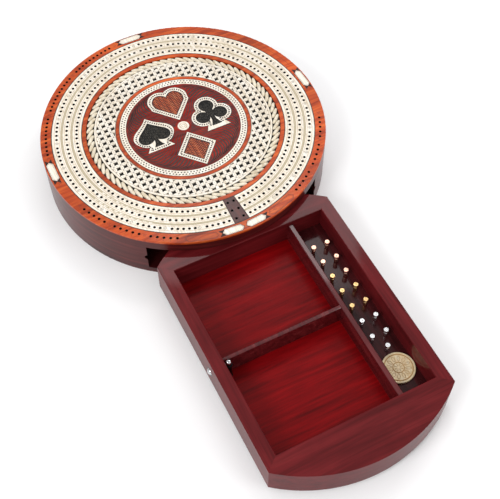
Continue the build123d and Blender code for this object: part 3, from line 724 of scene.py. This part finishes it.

# start bar: wavy carved edges
b = Build()
for side in (-1, 1):
    pts = []
    for q in range(80):
        r = 109.6 + 30.0 * q / 79
        half = math.radians(3.45) * r - 0.9
        w = 0.35 * math.sin(q * 0.95)
        cx, cy = polar(r, 0)
        pts.append((cx + side * (half + w), cy))
    ridge(b, pts, 0.28, Z_FACE - 0.03, 0.16, n=4)
b.make("start_bar_waves", M["swirl"], "casing")

# ------------------------------------------------------------------ suits: dotted borders and carved insides
SUITS = {"heart": (0, 31), "spade": (-33.5, 0), "club": (33.7, 0), "diamond": (0, -34.2)}
outer = {}
b = Build()
for s in SUITS:
    loops = top_loops(f"{s}_border")
    big, small = loops[0], loops[1]
    outer[s] = big
    mid = []
    fine = evenly(big, 400)
    for x, y in fine:
        k = int(np.argmin(np.hypot(small[:, 0] - x, small[:, 1] - y)))
        # nearest point of the inner outline, on its segments
        best = None
        for kk in (k - 1, k):
            a_, b_ = small[kk % len(small)], small[(kk + 1) % len(small)]
            ab = b_ - a_
            t = np.clip(np.dot([x - a_[0], y - a_[1]], ab) / (np.dot(ab, ab) + 1e-12), 0, 1)
            c_ = a_ + ab * t
            dd = math.hypot(c_[0] - x, c_[1] - y)
            if best is None or dd < best[0]:
                best = (dd, c_)
        mid.append(((x + best[1][0]) / 2, (y + best[1][1]) / 2))
    mid = np.array(mid)
    length = np.linalg.norm(np.roll(mid, -1, 0) - mid, axis=1).sum()
    count = int(length / 2.45)
    even = evenly(mid, count)
    _, d, nn = directions(even, True)
    for (x, y), (dx, dy) in zip(even, nn):
        dome(b, x, y, 0.82, 56.08, 0.12, seg=12, sx=1.38, turn=math.atan2(dy, dx))
b.make("suit_border_marks", M["ink"], "casing")

# dark line round each suit border: a real dark line, widened so that it also paints the shade along the border's
# raised edges
b = Build()
for s in SUITS:
    for loop in top_loops(f"{s}_border")[:2]:
        k = max(40, int(np.linalg.norm(np.roll(loop, -1, 0) - loop, axis=1).sum() / 0.8))
        ribbon(b, evenly(loop, k), 0.25, 55.9, 56.13, closed=True)
b.make("suit_outlines_and_edge_shade", M["ink"], "casing", smooth=False)

inner = {s: top_loops(f"{s}_inlay")[0] for s in SUITS}


def clipped(pts, poly, margin):
    """Pieces of a path that lie inside an outline."""
    out, run = [], []
    for p in pts:
        if inside(poly, p[0], p[1]) and gap_to(poly, p[0], p[1]) > margin:
            run.append(p)
        else:
            if len(run) > 2:
                out.append(run)
            run = []
    if len(run) > 2:
        out.append(run)
    return out


# heart and diamond: rows of small raised arches that fan out from the middle
b = Build()
for s, (cx, cy) in (("heart", (0, 31)), ("diamond", (0, -34.2))):
    poly = inner[s]
    x0, y0 = poly.min(0)
    x1, y1 = poly.max(0)
    for side in (-1, 1):
        for col in range(0, 5):
            xc = cx + side * (2.1 + 3.9 * col)
            for row in range(-2, 20):
                yc = y0 + 2.35 * row + 0.65 * col * (1 if s == "heart" else -0.4)
                pts = []
                for q in range(11):
                    u = -1 + 2 * q / 10
                    pts.append((xc + 1.7 * u, yc + 1.25 * (1 - u * u) + side * 0.55 * u))
                for part in clipped(pts, poly, 0.75):
                    ridge(b, part, 0.36, 55.78, 0.34, n=4)
    pts = [(cx, y0 + 0.5 + (y1 - y0) * q / 40) for q in range(41)]
    for part in clipped(pts, poly, 0.8):
        ridge(b, part, 0.3, 55.78, 0.3, n=4)
b.make("red_suit_carving", M["relief_red"], "casing")

b = Build()
for s in ("heart", "diamond"):
    poly = inner[s]
    k = max(40, int(np.linalg.norm(np.roll(poly, -1, 0) - poly, axis=1).sum() / 0.8))
    c = poly.mean(0)
    shrunk = evenly(poly, k)
    shrunk = c + (shrunk - c) * 0.965
    ribbon(b, shrunk, 0.28, 55.77, 55.84, closed=True)
b.make("red_suit_edge", M["relief_dark_red"], "casing", smooth=False)

# spade and club: a stem with curls on both sides
b = Build()


def curl(cx, cy, r, start, sense, turns=1.25):
    pts = []
    for q in range(22):
        t = q / 21
        rr = r * (1 - 0.78 * t)
        a = start + sense * turns * 2 * math.pi * t
        pts.append((cx + rr * math.cos(a), cy + rr * math.sin(a)))
    return pts


for s, (cx, cy) in (("spade", SUITS["spade"]), ("club", SUITS["club"])):
    poly = inner[s]
    x0, y0 = poly.min(0)
    x1, y1 = poly.max(0)
    for row in range(8):
        for col in range(5):
            for side in (-1, 1):
                px = cx + side * (2.1 + 3.9 * col)
                py = y0 + 2.0 + 3.9 * row + (1.95 if col % 2 else 0)
                pts = curl(px, py, 1.75, math.pi / 2 if side > 0 else math.pi / 2, side * (1 if row % 2 else -1))
                for part in clipped(pts, poly, 0.7):
                    ridge(b, part, 0.3, 55.78, 0.3, n=4)
    pts = [(cx, y0 + 0.4 + (y1 - y0) * q / 40) for q in range(41)]
    for part in clipped(pts, poly, 0.8):
        ridge(b, part, 0.34, 55.78, 0.3, n=4)
b.make("black_suit_carving", M["relief_black"], "casing")

# ------------------------------------------------------------------ centre disc: swirling engraved lines
b = Build()
polys = [outer[s] for s in SUITS]


def open_disc(x, y):
    r = math.hypot(x, y)
    if r < 7.4 or r > R_DISC - 0.25:
        return False
    for pl in polys:
        lo, hi = pl.min(0) - 1, pl.max(0) + 1
        if lo[0] < x < hi[0] and lo[1] < y < hi[1]:
            if inside(pl, x, y) or gap_to(pl, x, y) < 0.55:
                return False
    return True


def swirl_line(a0, r0):
    pts = []
    ph = 0.5 * math.sin(math.radians(a0) * 2) + 0.08 * math.sin(math.radians(a0) * 5 + 1)
    r = r0
    while r < R_DISC:
        e = max(0.0, (r - 53.5) / 7.4)
        a = a0 + 9.0 * math.sin(r / 8.5 + ph) + 26.0 * math.sin(r / 26.0 + ph * 0.6) + 13.0 * e * e
        pts.append(polar(r, a))
        r += 0.8
    return pts


for n, r0, shift in ((42, 8.0, 0.0), (42, 22.0, 0.5), (84, 42.0, 0.25)):
    for i in range(n):
        a0 = (i + shift) * 360.0 / n
        run = []
        for p in swirl_line(a0, r0) + [(1e3, 1e3)]:
            if open_disc(*p):
                run.append(p)
            else:
                if len(run) > 4:
                    w = 0.42 + 0.08 * math.sin(i * 1.7)
                    hw = [w * min(1.0, 0.25 + min(q, len(run) - 1 - q) / 4.0) for q in range(len(run))]
                    ribbon(b, run, hw, Z_FACE - 0.03, Z_FACE + 0.025)
                run = []
b.make("disc_lines", M["swirl"], "casing", smooth=False)

# ------------------------------------------------------------------ button rings
b = Build()
for r, z, w in ((3.85, Z_FACE + 0.4, 0.22), (1.8, Z_FACE + 0.45, 0.18)):
    ribbon(b, [(r * math.cos(t * math.pi / 24), r * math.sin(t * math.pi / 24)) for t in range(48)], w,
           z - 0.05, z + 0.04, closed=True)
dome(b, 0, 0, 0.4, Z_FACE + 0.74, 0.055, seg=12)
b.make("button_rings", M["ink_soft"], "casing", smooth=False)

# ------------------------------------------------------------------ catch springs: a steel coil behind each ball
CATCH_Z, WALL_X = (8.25 + 43.0) / 2, 95.8
COIL_X0, COIL_X1 = WALL_X - 11.8 + 1.35, WALL_X - 1.6 - 4.0 + 0.45
for side, name, body in ((-1, "left_spring_coil", "left_ball"), (1, "right_spring_coil", "right_ball")):
    b = Build()
    turns, per, m = 4.0, 28, 8
    n = int(turns * per)
    line = []
    for q in range(n + 1):
        t = q / n
        a = 2 * math.pi * turns * t
        line.append((side * (COIL_X0 + (COIL_X1 - COIL_X0) * t), YD + 3.3 * math.cos(a), CATCH_Z + 3.3 * math.sin(a)))
    line = np.array(line)
    tan = np.gradient(line, axis=0)
    tan /= np.linalg.norm(tan, axis=1)[:, None]
    verts, faces = [], []
    for q in range(n + 1):
        out = line[q] - np.array([line[q, 0], YD, CATCH_Z])
        out /= np.linalg.norm(out)
        up = np.cross(tan[q], out)
        up /= np.linalg.norm(up)
        out = np.cross(up, tan[q])
        for j in range(m):
            w = 2 * math.pi * j / m
            verts.append(tuple(line[q] + 0.3 * (math.cos(w) * out + math.sin(w) * up)))
    for q in range(n):
        for j in range(m):
            j2 = (j + 1) % m
            faces.append((q * m + j, q * m + j2, (q + 1) * m + j2, (q + 1) * m + j))
    faces.append(tuple(range(m))[::-1])
    faces.append(tuple(n * m + j for j in range(m)))
    b.add(verts, faces)
    coil = b.make(name, M["steel"], None)
    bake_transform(coil)
    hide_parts("catch_springs")

# ------------------------------------------------------------------ token rosette
TX, TY = 65.85, YD - 74.6
b = Build()
turned(b, TX, TY, [(13.2, 20.75), (13.5, 21.0), (13.9, 21.0), (14.2, 20.75)], seg=64)
turned(b, TX, TY, [(5.0, 20.75), (5.2, 20.98), (5.6, 20.98), (5.8, 20.75)], seg=48)
for i in range(12):
    a = 2 * math.pi * i / 12
    pts = []
    for q in range(21):
        t = q / 20
        w = 1.35 * math.sin(math.pi * t)
        r = 6.3 + 6.2 * t
        pts.append((r, w))
    loop = pts + [(r, -w) for r, w in pts[::-1][1:-1]]
    loop = [(TX + r * math.cos(a) - w * math.sin(a), TY + r * math.sin(a) + w * math.cos(a)) for r, w in loop]
    ridge(b, loop, 0.16, 20.76, 0.2, n=4, closed=True)
for i in range(8):
    a = 2 * math.pi * i / 8
    pts = [(TX + r * math.cos(a), TY + r * math.sin(a)) for r in np.linspace(1.2, 4.6, 8)]
    ridge(b, pts, 0.22, 20.76, 0.2, n=4)
b.make("token_rosette", M["token_mark"], "token")

# ------------------------------------------------------------------ stage
def plane(name, size, z, material):
    me = bpy.data.meshes.new(name)
    n = 24
    verts = [(-size + 2 * size * i / n, -size + 2 * size * j / n, z) for j in range(n + 1) for i in range(n + 1)]
    faces = [(j * (n + 1) + i, j * (n + 1) + i + 1, (j + 1) * (n + 1) + i + 1, (j + 1) * (n + 1) + i)
             for j in range(n) for i in range(n)]
    me.from_pydata(verts, [], faces)
    ob = bpy.data.objects.new(name, me)
    bpy.context.scene.collection.objects.link(ob)
    me.materials.append(material)
    return ob


st = Nodes("studio_floor_look")
fl = st.noise(st.mapping((1, 1, 1)), 3, 3, 0.5)
st.link(st.ramp(fl, [(0.3, lin((244, 244, 245))), (0.7, lin((250, 250, 250)))]), st.bsdf.inputs["Base Color"])
st.link(st.span(fl, 0.55, 0.65), st.bsdf.inputs["Roughness"])
plane("studio_floor", 4.0, -0.0002, st.mat)

world = bpy.data.worlds.new("studio")
bpy.context.scene.world = world
world.use_nodes = True
bg = world.node_tree.nodes["Background"]
bg.inputs["Color"].default_value = (1.0, 1.0, 1.0, 1.0)
bg.inputs["Strength"].default_value = 0.80


def area(name, loc, target, size, power, color=(1, 1, 1)):
    li = bpy.data.lights.new(name, "AREA")
    li.shape = "RECTANGLE"
    li.size, li.size_y = size
    li.energy = power
    li.color = color
    ob = bpy.data.objects.new(name, li)
    bpy.context.scene.collection.objects.link(ob)
    ob.location = loc
    ob.rotation_euler = (Vector(target) - Vector(loc)).to_track_quat("-Z", "Y").to_euler()
    return ob


area("key", (-1.3, -0.7, 1.3), (0, -0.12, 0.03), (0.7, 0.7), 17.0)
area("back", (1.3, 0.5, 1.0), (0, -0.1, 0.03), (0.6, 0.6), 7.0)
area("sheen", (0.33, 0.49, 1.07), (0.02, -0.17, 0.04), (0.5, 0.22), 1.6)
area("fill", (0.9, -1.5, 0.7), (0, -0.25, 0.03), (0.8, 0.5), 4.0)

# ------------------------------------------------------------------ camera
AZ, EL, DIST, LENS = math.radians(-27.0), math.radians(56.0), 0.98, 69.0
target = Vector((0.002, -0.153, 0.02))
back = Vector((math.sin(AZ) * math.cos(EL), -math.cos(AZ) * math.cos(EL), math.sin(EL)))
cam_data = bpy.data.cameras.new("camera")
cam_data.lens = LENS
cam_data.sensor_width = 36.0
cam = bpy.data.objects.new("camera", cam_data)
bpy.context.scene.collection.objects.link(cam)
cam.location = target + back * DIST
cam.rotation_euler = (-back).to_track_quat("-Z", "Y").to_euler()
bpy.context.scene.camera = cam
bpy.context.scene.view_settings.view_transform = "Standard"
